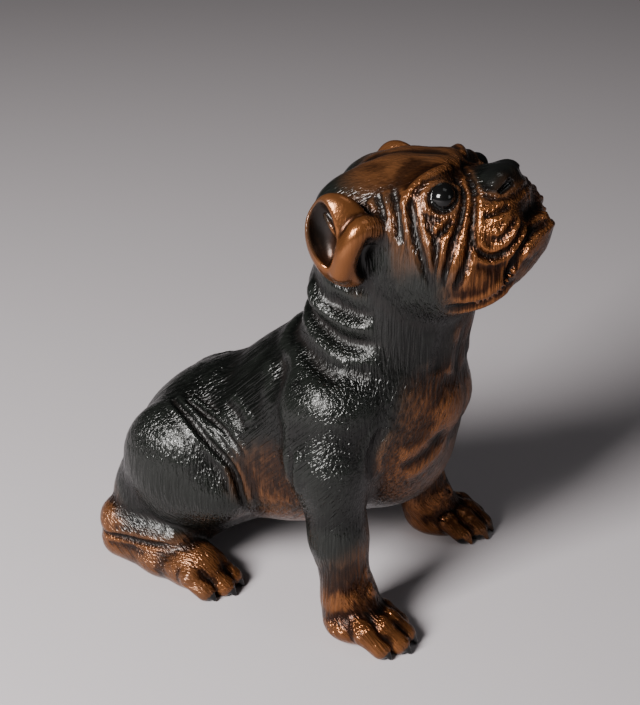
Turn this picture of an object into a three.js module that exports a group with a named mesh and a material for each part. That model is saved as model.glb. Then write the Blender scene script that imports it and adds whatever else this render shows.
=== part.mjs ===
// A bulldog puppy sitting up, cast in one piece, with its eyes and claws in the casting.
// The form is built up like clay: round masses run into one another, then the eyes,
// ears and mouth are set in and the folds of skin are pressed in along lines.
//
// The pose and proportions are shares of the figure's height: one unit is a hundredth of HEIGHT.
// The dog faces -Y, its left side is +X, and the floor is Z = 0. Both sides are alike,
// apart from the left foreleg, which reaches a little further forward.

import * as THREE from 'three';
import { edgeTable, triTable } from 'three/addons/objects/MarchingCubes.js';

// Driving dimensions, in millimetres.
const HEIGHT = 380;
const CELL = HEIGHT / 152;

// Facets that the finished surface keeps, and how much finer the head is faceted than the body.
const FACETS = 9800;
const HEAD_FINENESS = 5;
const FINE_FROM = 68;

// Pose of the head: how far the face is tipped up, and the point that its masses are placed from.
const HEAD_TIP = THREE.MathUtils.degToRad(38);
const HEAD_AT = [0, -20, 86];

// How far the left forepaw stands ahead and outward of the right one's place, and the heights
// between which that grows.
const LEFT_REACH = 1.5;
const LEFT_SPREAD = 2.1;
const REACH_FROM = 46;
const REACH_FULL = 16;

// The soles and the rump are cut off flat this far up the round masses.
const SOLE = 0.8;

// Nothing of the face lies below this height.
const FACE_FROM = 60;

const UNIT = HEIGHT / 100;
const rad = THREE.MathUtils.degToRad;

// The head's own directions: forward along the face, up through the crown, and across.
const HEAD_FORWARD = [0, -Math.cos(HEAD_TIP), Math.sin(HEAD_TIP)];
const HEAD_UP = [0, Math.sin(HEAD_TIP), Math.cos(HEAD_TIP)];

function headPoint(forward, up, across) {
  const offset = [across, 0, 0];
  return HEAD_AT.map((at, i) => at + forward * HEAD_FORWARD[i] + up * HEAD_UP[i] + offset[i]);
}

function turnedBy(pitch, yaw = 0) {
  const turn = new THREE.Matrix4().makeRotationZ(rad(yaw));
  turn.multiply(new THREE.Matrix4().makeRotationX(rad(pitch)));
  return turn;
}

function turnedWithHead(pitch, yaw) {
  const across = new THREE.Vector3(1, 0, 0);
  const forward = new THREE.Vector3(...HEAD_FORWARD);
  const up = new THREE.Vector3(...HEAD_UP);
  return new THREE.Matrix4().makeBasis(across, forward, up).multiply(turnedBy(pitch, yaw));
}

// An egg-shaped mass: distance from a point to it, close to true near its surface.
function lump(centre, radii, turn = new THREE.Matrix4()) {
  const [cx, cy, cz] = centre;
  const [rx, ry, rz] = radii;
  const e = turn.elements;
  return (x, y, z) => {
    const dx = x - cx;
    const dy = y - cy;
    const dz = z - cz;
    const a = (dx * e[0] + dy * e[1] + dz * e[2]) / rx;
    const b = (dx * e[4] + dy * e[5] + dz * e[6]) / ry;
    const c = (dx * e[8] + dy * e[9] + dz * e[10]) / rz;
    const scaled = Math.sqrt(a * a + b * b + c * c);
    const slope = Math.sqrt((a / rx) ** 2 + (b / ry) ** 2 + (c / rz) ** 2);
    return scaled * (scaled - 1) / Math.max(slope, 1e-6);
  };
}

// A limb: a round bar from one point to another, with its own radius at each end.
function limb(from, to, fromRadius, toRadius) {
  const [ax, ay, az] = from;
  const bx = to[0] - ax;
  const by = to[1] - ay;
  const bz = to[2] - az;
  const reach = bx * bx + by * by + bz * bz;
  return (x, y, z) => {
    const dx = x - ax;
    const dy = y - ay;
    const dz = z - az;
    const t = Math.min(1, Math.max(0, (dx * bx + dy * by + dz * bz) / reach));
    return Math.hypot(dx - t * bx, dy - t * by, dz - t * bz) - (fromRadius + (toRadius - fromRadius) * t);
  };
}

const headLump = (forward, up, across, rAcross, rForward, rUp, pitch = 0, yaw = 0) =>
  lump(headPoint(forward, up, across), [rAcross, rForward, rUp], turnedWithHead(pitch, yaw));
const headLimb = (from, to, fromRadius, toRadius) =>
  limb(headPoint(...from), headPoint(...to), fromRadius, toRadius);

// Two forms joined with a fillet of the given width, and one cut out of another the same way.
function join(a, b, width) {
  const h = Math.max(width - Math.abs(a - b), 0) / width;
  return Math.min(a, b) - h * h * width / 4;
}

function cut(a, b, width) {
  return -join(-a, b, width);
}

// Masses are [form, fillet to the masses before it].
const trunk = [
  [limb([0, -8, 41], [0, 19, 28], 19.5, 16.5), 1],
  [lump([0, 29.5, 17.5], [17.5, 15.5, 18.5]), 8],
  [lump([0, -11, 46], [19.5, 17.3, 18]), 6],
  [lump([0, -14.5, 49], [12, 12.2, 10]), 6],
  [lump([0, -13.5, 35], [13, 14.1, 14]), 6],
  [lump([0, 5, 24.3], [15, 17, 10]), 6],
  [limb([0, -19.4, 73], [0, -14.2, 56], 14.1, 15.4), 7],
  [lump([0, -9, 79.5], [12, 9.5, 9], turnedBy(20)), 4],
  [lump([0, -6, 69], [11.5, 6.2, 8]), 4],
  [lump([0, 4.5, 48], [11, 11, 7.4], turnedBy(-32)), 6],
  [lump([3, -27.5, 47], [4.5, 3.6, 4.5]), 4],
  [lump([12, 25.6, 26], [10, 14.1, 14.6], turnedBy(-22)), 3],
  [lump([9, 36, 15.5], [9, 8.2, 9]), 3],
  [lump([14.5, 17.5, 23.3], [6.5, 8, 7]), 3],
  [lump([0, 26, 36], [10, 13, 6.5], turnedBy(-35)), 5],
  [lump([0, 45.5, 13], [3.4, 3.2, 4.2], turnedBy(30)), 2],
];

// Four toes, each with a claw: across from the foot's middle line, back from the longest toe, radius.
const TOES = [[-4.7, 2.4, 2.25], [-1.65, 0, 2.5], [1.65, 0, 2.5], [4.7, 2.6, 2.25]];

function toes(rootX, rootY, tipX, tipY, size) {
  const parts = [];
  for (const [across, back, radius] of TOES) {
    const r = radius * size;
    const root = [rootX + across * 0.6 * size, rootY + 3.0, 6.6];
    const knuckle = [tipX + across * 0.98 * size, tipY + back * size + 3.6, 5.0];
    const tip = [tipX + across * 1.08 * size, tipY + back * size, 2.7];
    const point = [tip[0] + across * 0.05, tip[1] - r * 0.95, 1.4];
    parts.push([limb(root, knuckle, r * 0.9, r * 1.0), 0.7]);
    parts.push([limb(knuckle, tip, r * 0.98, r * 0.88), 0.7]);
    parts.push([limb([tip[0], tip[1] - r * 0.5, 3.0], point, r * 0.42, r * 0.2), 0.3]);
  }
  return parts;
}

const hindLeg = [
  [limb([14, 40.8, 5.6], [16.2, 30, 5.0], 4.9, 4.6), 1],
  [limb([16.2, 30, 5.0], [17.6, 19.5, 4.4], 4.6, 4.6), 3],
  [limb([14.2, 40.5, 10.5], [15.5, 27, 10], 5.2, 4.8), 1.2],
  [lump([17.6, 22, 5.0], [5.8, 6.5, 4.8]), 2],
  ...toes(17.2, 19.4, 17.5, 13.9, 1.04),
];

const foreLeg = [
  [limb([14.5, -7, 47], [18, -9, 37], 9, 7.5), 1],
  [lump([16.5, -10, 48.5], [7.5, 8.5, 8], turnedBy(-20)), 3],
  [limb([18.5, -10, 38], [19.6, -12.3, 22], 7.4, 5.5), 5],
  [limb([19.6, -12.3, 22], [20.2, -14.8, 9], 5.5, 5.0), 3],
  [limb([20.4, -15.4, 8], [21.4, -19.6, 4.4], 5.5, 4.4), 3],
  [lump([21.3, -16.9, 4.0], [6.6, 6.6, 4.0]), 2],
  ...toes(21.4, -20.8, 22.2, -27.3, 1),
];

const skull = [
  [headLump(-3, 0.8, 0, 14.3, 14.5, 12.0), 1],
  [headLump(-8, 4.0, 6, 8, 10, 9.8), 3],
  [headLump(7.4, 2.5, 6, 5.6, 5.3, 3.9), 2.5],
  [headLump(7.6, 3.8, 0, 5.5, 5.3, 3.4), 3],
  [headLump(1, -8, 7.5, 9, 12, 12.5), 5],
  [headLump(12.8, -6.2, 0, 8.7, 8.8, 7.2), 3.5],
  [headLump(12.4, -9.8, 5.8, 5.6, 7.7, 7.8), 2],
  [headLump(7, -14, 8, 5, 6.4, 7.2), 2.5],
  [headLump(12.7, -15.6, 0, 8.3, 8.6, 5.1, 10), 1.6],
  [headLump(9.5, -16, 3.5, 6, 6.5, 5.1), 2.5],
  [headLimb([20.9, -14.6, 0], [17, -16.2, 5.5], 1.7, 1.5), 1.2],
];

const nose = [
  [headLump(17.3, -3.6, 0, 3.6, 4.6, 3.2), 1],
  [headLump(17.8, -3.6, 2.9, 3.0, 3.6, 3.0), 0.8],
];

// The hollow between the belly and the hind feet.
const groin = lump([0, 17, 1], [13, 8.5, 10]);

// Each eye is a ball that stands a little out of the face, between two lids.
const eyeBall = lump(headPoint(11.0, 0.3, 9.7), [2.5, 2.5, 2.5]);

// Lines on the skin: head lines are (forward, up, across), the others (across, back, up).
const onHead = (points) => points.map((p) => headPoint(...p));

// Ridges are [line, radius]: the two lids and the brow.
const ridges = [
  [onHead([[8.0, 0, 12.0], [9.1, 2.4, 11.6], [11.2, 3.2, 10.5], [13.0, 2.0, 8.8], [13.9, 0.2, 7.6]]), 0.7],
  [onHead([[8.0, 0, 12.0], [9.2, -2.2, 12.0], [11.3, -2.9, 11.0], [13.2, -1.6, 9.2], [13.9, 0.2, 7.6]]), 0.5],
  [onHead([[5.6, 3.4, 13.0], [8.2, 5.4, 11.6], [11.2, 5.6, 8.6], [13.4, 4.2, 4.6]]), 1.0],
];

// Folds are [line, half width, depth, swelling of the skin beside it].
const folds = [
  [onHead([[6.5, 4.4, 11.9], [6.0, 1.1, 13.6], [4.9, -2.7, 15.3], [3.5, -8.0, 16.2],
    [1.1, -14, 15.5]]), 1.2, 1.26, 0.3],
  [onHead([[7.6, -2.4, 13.6], [7.4, -4.6, 14.6], [6.6, -6.4, 15.4]]), 1.1, 0.73, 0.15],
  [onHead([[11.6, -4.0, 11.4], [9.6, -4.6, 13.4], [7.9, -5.2, 14.6], [4.9, -9.4, 16],
    [1.5, -14, 15.4]]), 1.1, 1.16, 0.3],
  [onHead([[13.4, 2.8, 4.6], [13.8, -2.4, 8.8], [10.2, -6.8, 13.2], [6.7, -10.4, 15.3],
    [2.6, -14, 15.6]]), 1.1, 1.37, 0.3],
  [onHead([[15.2, 1.8, 2.8], [15.0, -4.0, 9.0], [10.6, -10.8, 13.1], [7.6, -13.3, 14.3],
    [4.6, -15.4, 14.5]]), 1.1, 1.58, 0.3],
  [onHead([[4.4, 7.2, 10.8], [3.6, 2.2, 14.2], [1.6, -2.7, 16]]), 1.44, 0.73, 0.4],
  [onHead([[1.5, 7.8, 12.1], [1.5, 5.1, 13.5], [0.9, 1.9, 14.6]]), 1.28, 0.63, 0.3],
  [onHead([[23.2, -14.6, 0], [21.6, -14.3, 2.8], [19.8, -14.1, 5], [18, -15.3, 7.4], [16, -16.6, 8.4],
    [13, -18, 8.8], [10, -19.6, 9]]), 1.12, 1.99, 0.2],
  [onHead([[15.6, -6.6, 10.4], [18.6, -7.5, 8.6], [20.2, -8.0, 5.4]]), 1.1, 0.95, 0.25],
  [onHead([[13.2, -7.6, 11.3], [12.0, -10.9, 11.8], [13.0, -13.4, 10.8], [16.1, -13.9, 9.0],
    [19.0, -12.2, 6.8], [19.9, -11.4, 4.6]]), 1.1, 1.37, 0.35],
  [onHead([[14.9, -10.2, 11], [16.4, -11.6, 10.2], [18.6, -10.6, 8.2],
    [19.8, -9.8, 5.4]]), 1.1, 0.89, 0.25],
  [onHead([[22.4, -7.5, 0], [23, -10, 0], [23, -12.4, 0]]), 1.1, 0.37, 0.05],
  [onHead([[13.8, 3.0, 0], [15.0, 1.2, 3.2], [15.6, -2.8, 6.8], [17.6, -6.2, 6.4], [20.6, -7.0, 3.2],
    [21.6, -7, 0]]), 1.1, 0.63, 0.1],
  [onHead([[0, -17, 14], [3.5, -19.6, 12.4], [6.5, -20.8, 11], [10, -21.2, 9.6],
    [13.5, -20.4, 7.8]]), 1.6, 1.99, 0.6],
  [onHead([[11.5, 6.2, 0], [6, 10.4, 0], [-1, 12.6, 0]]), 2.56, 0.42, 0.2],
  [[[6, -3, 73], [11, -6.6, 69.4], [14, -12.6, 68.9], [14.6, -18, 69.5]], 1.76, 0.77, 0.5],
  [[[0, 0.5, 69], [8, -1.5, 66], [12.7, -6.4, 64.2], [15.4, -12.8, 63], [15.4, -20, 64]], 1.76, 0.88, 0.5],
  [[[0, 4.5, 63], [8.2, 3, 60.6], [14.4, -3, 59.4], [18, -8.7, 57], [19.5, -13, 55]], 1.98, 0.77, 0.4],
  [[[10, 5, 57], [14, 3, 54], [17.5, 1, 49], [20, 0, 43], [20.5, 0.5, 37]], 2.2, 0.55, 0.35],
  [[[10.5, 30, 41.5], [13.5, 26, 40], [16.3, 20, 37], [18, 12.5, 31.7], [18.5, 9.5, 25],
    [17, 9, 19]], 1.1, 1.32, 0.45],
  [[[12, 26, 42.6], [14, 21.5, 41.6], [16.5, 14.5, 38.5], [18, 8.5, 33.5]], 1.1, 0.77, 0.35],
  [[[14, 17, 44.5], [16, 13, 43], [17.5, 9, 40]], 1.1, 0.39, 0.25],
  [[[17.2, 44.5, 8.2], [19.2, 38, 9.0], [20, 31, 9.4], [20.2, 25, 10.4]], 1.1, 1.1, 0.3],
  [[[25, -3.5, 43], [25.6, -4, 38], [24.5, -4.2, 33]], 1.1, 0.77, 0.4],
  [[[17.5, -21.5, 48], [18.8, -19, 42], [18.5, -17.5, 35]], 1.1, 0.99, 0.3],
  [[[26.4, -14, 12.6], [23, -19.8, 11.6], [19, -20.4, 11.8]], 1.1, 0.66, 0.3],
  [[[26, -12, 16.4], [23, -18, 15.4], [18.5, -19, 15.6]], 1.1, 0.5, 0.25],
  [[[5.5, -31, 43], [10, -28, 39], [15, -23.5, 36]], 1.65, 0.55, 0.3],
  [[[3.5, -33, 66], [3.2, -33, 60], [3.6, -32, 54]], 1.65, 0.44, 0.2],
  [[[9, -31, 67], [8.5, -30, 60], [9.5, -29, 56]], 1.98, 0.55, 0.3],
];

// A rose ear: a cupped leaf that stands out from the head, its front edge folded over.
const EAR_TURN = turnedBy(-15, -8);
const earLeaf = lump([16.3, -11.2, 84.2], [3.3, 6.8, 9.4], EAR_TURN);
const earCup = lump([18.8, -8.2, 86.2], [3.0, 3.0, 6.6], EAR_TURN);
const earFlap = [[14, -17.8, 87], [17.6, -15.2, 88.0], [18.6, -13.2, 83.6], [18.0, -11.4, 78.8]];
const EAR_FLAP_RADIUS = 2.0;
const earGap = lump([16.6, -17.6, 79.4], [4.2, 3.4, 5.4], EAR_TURN);

const nostril = headLimb([21.8, -4.4, 2.1], [19.4, -4.8, 5.2], 1.3, 1.0);

// A curve through a line's points, as short straight steps.
function smoothLine(points) {
  const places = points.map((p) => new THREE.Vector3(...p));
  const curve = new THREE.CatmullRomCurve3(places, false, 'catmullrom', 0.5);
  return curve.getPoints((points.length - 1) * 4).map((p) => [p.x, p.y, p.z]);
}

// Distance from a point to a line of short steps, and what share of the line lies before it.
function lineDistance(steps, x, y, z) {
  let best = Infinity;
  let along = 0;
  for (let i = 1; i < steps.length; i += 1) {
    const a = steps[i - 1];
    const b = steps[i];
    const bx = b[0] - a[0];
    const by = b[1] - a[1];
    const bz = b[2] - a[2];
    const dx = x - a[0];
    const dy = y - a[1];
    const dz = z - a[2];
    const t = Math.min(1, Math.max(0, (dx * bx + dy * by + dz * bz) / (bx * bx + by * by + bz * bz)));
    const away = (dx - t * bx) ** 2 + (dy - t * by) ** 2 + (dz - t * bz) ** 2;
    if (away < best) {
      best = away;
      along = (i - 1 + t) / (steps.length - 1);
    }
  }
  return { away: Math.sqrt(best), along };
}

// The box around a line, widened, so that points far from the line are passed over.
function reachOf(steps, margin) {
  const low = [0, 1, 2].map((i) => Math.min(...steps.map((p) => p[i])) - margin);
  const high = [0, 1, 2].map((i) => Math.max(...steps.map((p) => p[i])) + margin);
  return (x, y, z) =>
    x > low[0] && x < high[0] && y > low[1] && y < high[1] && z > low[2] && z < high[2];
}

function joined(masses, x, y, z) {
  let d = masses[0][0](x, y, z);
  for (let i = 1; i < masses.length; i += 1) {
    d = join(d, masses[i][0](x, y, z), masses[i][1]);
  }
  return d;
}

// What share of its reach and spread the left foreleg has at a height.
function leftShare(x, z) {
  return x > 0 ? THREE.MathUtils.clamp((REACH_FROM - z) / (REACH_FROM - REACH_FULL), 0, 1) : 0;
}

// The figure's plain masses, before anything is set in or carved.
function plainForm(x, y, z) {
  const side = Math.abs(x);
  const share = leftShare(x, z);
  let d = joined(trunk, side, y, z);
  d = join(d, joined(foreLeg, side - LEFT_SPREAD * share, y + LEFT_REACH * share, z), 3);
  d = join(d, joined(hindLeg, side, y, z), 1.5);
  d = join(d, joined(skull, side, y, z), 3);
  d = join(d, joined(nose, side, y, z), 0.8);
  return cut(d, groin(side, y, z), 4);
}

// A point moved onto the surface of the plain form, straight along its slope.
function ontoSurface(point) {
  const p = [...point];
  const step = 0.05;
  for (let pass = 0; pass < 8; pass += 1) {
    const d = plainForm(...p);
    const slope = [0, 1, 2].map((i) => {
      const q = [...p];
      q[i] += step;
      return (plainForm(...q) - d) / step;
    });
    const size = Math.max(0.5, slope[0] ** 2 + slope[1] ** 2 + slope[2] ** 2);
    for (let i = 0; i < 3; i += 1) {
      p[i] -= d * slope[i] / size;
    }
  }
  p[0] = Math.max(p[0], 0);
  return p;
}

function laidOn(points) {
  return smoothLine(points).map(ontoSurface);
}

const ridgeForms = ridges.map(([points, radius]) => {
  const steps = laidOn(points);
  return { steps, radius, near: reachOf(steps, radius + 5) };
});
const foldForms = folds.map(([points, width, depth, swell]) => {
  const steps = laidOn(points);
  return { steps, width, depth, swell, near: reachOf(steps, width * 4) };
});
const flapSteps = smoothLine(earFlap);

// The share of a fold's length over which it runs out at each end.
const RUN_OUT = 0.22;

// How far a fold lowers the skin at a point: a rounded valley with a swelling on each side.
// An end on the dog's middle line meets its mirror image there, and doesn't run out.
function foldDepth(fold, x, y, z) {
  const { away, along } = lineDistance(fold.steps, x, y, z);
  const t = away / fold.width;
  const start = fold.steps[0][0] < 0.5 ? 1 : along / RUN_OUT;
  const end = fold.steps.at(-1)[0] < 0.5 ? 1 : (1 - along) / RUN_OUT;
  const whole = THREE.MathUtils.smoothstep(Math.min(start, end), 0, 1);
  return whole * (fold.depth * Math.exp(-t * t) - fold.swell * Math.exp(-((t - 2) ** 2)));
}

// The head's small forms, set into the surface at distance d: lids, eyeballs, nostrils and ears.
function withFace(d, side, y, z) {
  let face = d;
  for (const ridge of ridgeForms) {
    if (ridge.near(side, y, z)) {
      face = join(face, lineDistance(ridge.steps, side, y, z).away - ridge.radius, 1.2);
    }
  }
  face = join(face, eyeBall(side, y, z), 0.15);
  face = cut(face, nostril(side, y, z), 0.5);
  const flap = lineDistance(flapSteps, side, y, z).away - EAR_FLAP_RADIUS;
  const cupped = cut(earLeaf(side, y, z), earCup(side, y, z), 1.0);
  const ear = join(cut(cupped, earGap(side, y, z), 0.8), flap, 0.8);
  return join(face, ear, 1.0);
}

function form(x, y, z) {
  const side = Math.abs(x);
  const share = y < 0 ? leftShare(x, z) : 0;
  const across = side - LEFT_SPREAD * share;
  const back = y + LEFT_REACH * share;
  let d = plainForm(x, y, z);
  for (const fold of foldForms) {
    if (fold.near(across, back, z)) {
      d += foldDepth(fold, across, back, z);
    }
  }
  if (z > FACE_FROM) {
    d = withFace(d, side, y, z);
  }
  return Math.max(d, SOLE - z);
}

// The edge of a cell and the corners that the lattice spans, in units of the figure.
// The floor lies midway between two layers, so that the soles come out flat.
const SPACING = CELL / UNIT;
const LOW = [-34, -54, SOLE - 2.5 * SPACING];
const HIGH = [34, 54, 104];

// The lattice is walked in blocks of whole cells about this long in mm.
// A block that the surface cannot reach is filled from its middle alone.
const BLOCK_LENGTH = 10;

function lattice() {
  const cells = Math.round(BLOCK_LENGTH / CELL);
  const blocks = LOW.map((low, i) => Math.ceil((HIGH[i] - low) / (SPACING * cells)));
  const size = blocks.map((n) => n * cells + 1);
  const values = new Float32Array(size[0] * size[1] * size[2]).fill(1);
  const index = (i, j, k) => (k * size[1] + j) * size[0] + i;
  const at = (axis, i) => LOW[axis] + i * SPACING;
  const half = SPACING * cells / 2;
  const reach = half * 2.3;
  for (let bk = 0; bk < blocks[2]; bk += 1) {
    for (let bj = 0; bj < blocks[1]; bj += 1) {
      for (let bi = 0; bi < blocks[0]; bi += 1) {
        const origin = [bi * cells, bj * cells, bk * cells];
        const middle = form(...origin.map((o, axis) => at(axis, o) + half));
        const near = Math.abs(middle) < reach;
        for (let k = origin[2]; k <= origin[2] + cells; k += 1) {
          for (let j = origin[1]; j <= origin[1] + cells; j += 1) {
            for (let i = origin[0]; i <= origin[0] + cells; i += 1) {
              const cell = index(i, j, k);
              if (near && Math.abs(values[cell]) === 1) {
                values[cell] = form(at(0, i), at(1, j), at(2, k)) || 1e-6;
              } else if (!near && middle < 0 && values[cell] === 1) {
                values[cell] = -1;
              }
            }
          }
        }
      }
    }
  }
  return { values, size, index, at };
}

// The corners of a cell and the corner pairs of its edges, in the order that the case tables use.
const CORNERS = [[0, 0, 0], [1, 0, 0], [1, 1, 0], [0, 1, 0], [0, 0, 1], [1, 0, 1], [1, 1, 1], [0, 1, 1]];
const EDGES = [
  [0, 1], [1, 2], [2, 3], [3, 0], [4, 5], [5, 6], [6, 7], [7, 4], [0, 4], [1, 5], [2, 6], [3, 7],
];

// How close a vertex may come to a lattice corner, as a share of the edge: closer ones make slivers.
const NEAREST = 0.12;

// The surface where the form is zero, as shared vertices and triangles.
function surface({ values, size, index, at }) {
  const points = [];
  const triangles = [];
  const vertexOfEdge = new Map();
  const vertexBetween = (cell, edge) => {
    const [a, b] = EDGES[edge].map((corner) => CORNERS[corner].map((c, axis) => c + cell[axis]));
    const ia = index(...a);
    const ib = index(...b);
    const key = Math.min(ia, ib) * values.length + Math.max(ia, ib);
    if (!vertexOfEdge.has(key)) {
      const share = THREE.MathUtils.clamp(values[ia] / (values[ia] - values[ib]), NEAREST, 1 - NEAREST);
      vertexOfEdge.set(key, points.length);
      points.push([0, 1, 2].map((axis) => at(axis, a[axis] + (b[axis] - a[axis]) * share)));
    }
    return vertexOfEdge.get(key);
  };
  for (let k = 0; k < size[2] - 1; k += 1) {
    for (let j = 0; j < size[1] - 1; j += 1) {
      for (let i = 0; i < size[0] - 1; i += 1) {
        let kind = 0;
        CORNERS.forEach(([ci, cj, ck], corner) => {
          if (values[index(i + ci, j + cj, k + ck)] < 0) {
            kind |= 1 << corner;
          }
        });
        if (edgeTable[kind] !== 0) {
          for (let t = kind * 16; triTable[t] !== -1; t += 3) {
            const corners = [0, 1, 2].map((n) => vertexBetween([i, j, k], triTable[t + n]));
            triangles.push(corners);
          }
        }
      }
    }
  }
  return { points, triangles };
}

// Fitting a smaller set of facets to the surface. Each vertex carries the planes of the facets
// it stands for, as the ten numbers of a symmetric 4 by 4 matrix, and the edge that moves least
// off those planes is closed first. Points within SOLE_SNAP of the cut of the soles lie on it.
const SOLE_SNAP = 0.06;
const SOLE_FIRMNESS = 300;
const PLANE_TERMS = [[0, 0], [0, 1], [0, 2], [0, 3], [1, 1], [1, 2], [1, 3], [2, 2], [2, 3], [3, 3]];

function facetNormal(a, b, c) {
  const ux = b[0] - a[0];
  const uy = b[1] - a[1];
  const uz = b[2] - a[2];
  const vx = c[0] - a[0];
  const vy = c[1] - a[1];
  const vz = c[2] - a[2];
  return [uy * vz - uz * vy, uz * vx - ux * vz, ux * vy - uy * vx];
}

function planesOf(points, triangles) {
  const planes = points.map(() => new Float64Array(10));
  for (const [a, b, c] of triangles) {
    const n = facetNormal(points[a], points[b], points[c]);
    const size = Math.hypot(...n) || 1;
    const plane = [n[0] / size, n[1] / size, n[2] / size, 0];
    plane[3] = -(plane[0] * points[a][0] + plane[1] * points[a][1] + plane[2] * points[a][2]);
    const flat = Math.max(points[a][2], points[b][2], points[c][2]) < SOLE + SOLE_SNAP;
    const inHead = points[a][2] > FINE_FROM;
    const weight = size * (flat ? SOLE_FIRMNESS : 1) * (inHead ? HEAD_FINENESS : 1);
    PLANE_TERMS.forEach(([i, j], term) => {
      const value = plane[i] * plane[j] * weight;
      planes[a][term] += value;
      planes[b][term] += value;
      planes[c][term] += value;
    });
  }
  return planes;
}

function offPlanes(q, [x, y, z]) {
  return q[0] * x * x + 2 * q[1] * x * y + 2 * q[2] * x * z + 2 * q[3] * x + q[4] * y * y
    + 2 * q[5] * y * z + 2 * q[6] * y + q[7] * z * z + 2 * q[8] * z + q[9];
}

// The point nearest to all the planes, or the better of a few on the edge where none is.
function bestPoint(q, a, b) {
  const m = new THREE.Matrix3().set(q[0], q[1], q[2], q[1], q[4], q[5], q[2], q[5], q[7]);
  const middle = [0, 1, 2].map((i) => (a[i] + b[i]) / 2);
  const span = Math.hypot(a[0] - b[0], a[1] - b[1], a[2] - b[2]);
  if (Math.abs(m.determinant()) > 1e-7 * (q[0] + q[4] + q[7]) ** 3) {
    const p = new THREE.Vector3(-q[3], -q[6], -q[8]).applyMatrix3(m.invert()).toArray();
    if (Math.hypot(p[0] - middle[0], p[1] - middle[1], p[2] - middle[2]) < span) {
      return p;
    }
  }
  return [a, b, middle].reduce((best, p) => (offPlanes(q, p) < offPlanes(q, best) ? p : best));
}

// A queue that gives back the entry of least cost.
class Queue {
  constructor() {
    this.items = [];
  }

  push(item) {
    const { items } = this;
    let i = items.length;
    items.push(item);
    while (i > 0 && items[(i - 1) >> 1].cost > item.cost) {
      items[i] = items[(i - 1) >> 1];
      i = (i - 1) >> 1;
    }
    items[i] = item;
  }

  pop() {
    const { items } = this;
    const first = items[0];
    const last = items.pop();
    let i = 0;
    while (items.length > 0 && 2 * i + 1 < items.length) {
      let child = 2 * i + 1;
      if (child + 1 < items.length && items[child + 1].cost < items[child].cost) {
        child += 1;
      }
      if (items[child].cost >= last.cost) {
        break;
      }
      items[i] = items[child];
      i = child;
    }
    if (items.length > 0) {
      items[i] = last;
    }
    return first;
  }
}

// How far a facet may turn, as the cosine of the angle, and how thin it may become.
const MOST_TURN = 0.25;
const LEAST_SHAPE = 0.08;

// Twice a facet's area against its longest side squared: near 0 for a sliver.
function shapeOf([a, b, c], normal) {
  const square = (p, q) => (p[0] - q[0]) ** 2 + (p[1] - q[1]) ** 2 + (p[2] - q[2]) ** 2;
  return Math.hypot(...normal) / Math.max(square(a, b), square(b, c), square(c, a), 1e-12);
}

function fewerFacets({ points, triangles }, budget) {
  const planes = planesOf(points, triangles);
  const around = points.map(() => new Set());
  triangles.forEach((t, n) => t.forEach((v) => around[v].add(n)));
  const facing = points.map(() => [0, 0, 0]);
  triangles.forEach((t) => {
    const n = facetNormal(...t.map((v) => points[v]));
    t.forEach((v) => n.forEach((value, i) => {
      facing[v][i] += value;
    }));
  });
  const version = new Int32Array(points.length);
  const gone = new Uint8Array(triangles.length);
  const queue = new Queue();
  let left = triangles.length;

  const neighbours = (v) => {
    const found = new Set();
    for (const n of around[v]) {
      triangles[n].forEach((w) => found.add(w));
    }
    found.delete(v);
    return found;
  };
  const offer = (a, b) => {
    const q = planes[a].map((value, i) => value + planes[b][i]);
    const at = bestPoint(q, points[a], points[b]);
    const span = (points[a][0] - points[b][0]) ** 2 + (points[a][1] - points[b][1]) ** 2
      + (points[a][2] - points[b][2]) ** 2;
    queue.push({ cost: offPlanes(q, at) + span * 1e-6, a, b, at, q, stamp: version[a] + version[b] });
  };
  // No facet beside the edge may fold over or become a thinner sliver.
  const staysWhole = (v, other, at) => {
    for (const n of around[v]) {
      const t = triangles[n];
      if (!t.includes(other)) {
        const corners = t.map((w) => points[w]);
        const moved = t.map((w) => (w === v ? at : points[w]));
        const before = facetNormal(...corners);
        const after = facetNormal(...moved);
        const was = shapeOf(corners, before);
        const shape = shapeOf(moved, after);
        const side = was > LEAST_SHAPE ? before : facing[v];
        const turn = side[0] * after[0] + side[1] * after[1] + side[2] * after[2];
        const folded = turn < MOST_TURN * Math.hypot(...side) * Math.hypot(...after);
        if (folded || shape < Math.min(LEAST_SHAPE, was)) {
          return false;
        }
      }
    }
    return true;
  };

  points.forEach((p, a) => neighbours(a).forEach((b) => {
    if (a < b) {
      offer(a, b);
    }
  }));
  while (left > budget && queue.items.length > 0) {
    const { a, b, at, q, stamp } = queue.pop();
    const fresh = around[a].size > 0 && around[b].size > 0 && stamp === version[a] + version[b];
    if (fresh) {
      const besideA = neighbours(a);
      const shared = [...neighbours(b)].filter((v) => besideA.has(v));
      if (besideA.has(b) && shared.length === 2 && staysWhole(a, b, at) && staysWhole(b, a, at)) {
        points[a] = at;
        planes[a] = q;
        facing[b].forEach((value, i) => {
          facing[a][i] += value;
        });
        for (const n of around[b]) {
          if (triangles[n].includes(a)) {
            gone[n] = 1;
            left -= 1;
            triangles[n].forEach((v) => v !== b && around[v].delete(n));
          } else {
            triangles[n] = triangles[n].map((v) => (v === b ? a : v));
            around[a].add(n);
          }
        }
        around[b] = new Set();
        version[a] += version[b] + 1;
        neighbours(a).forEach((v) => offer(a, v));
      }
    }
  }
  return { points, triangles: triangles.filter((t, n) => !gone[n]) };
}

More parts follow.
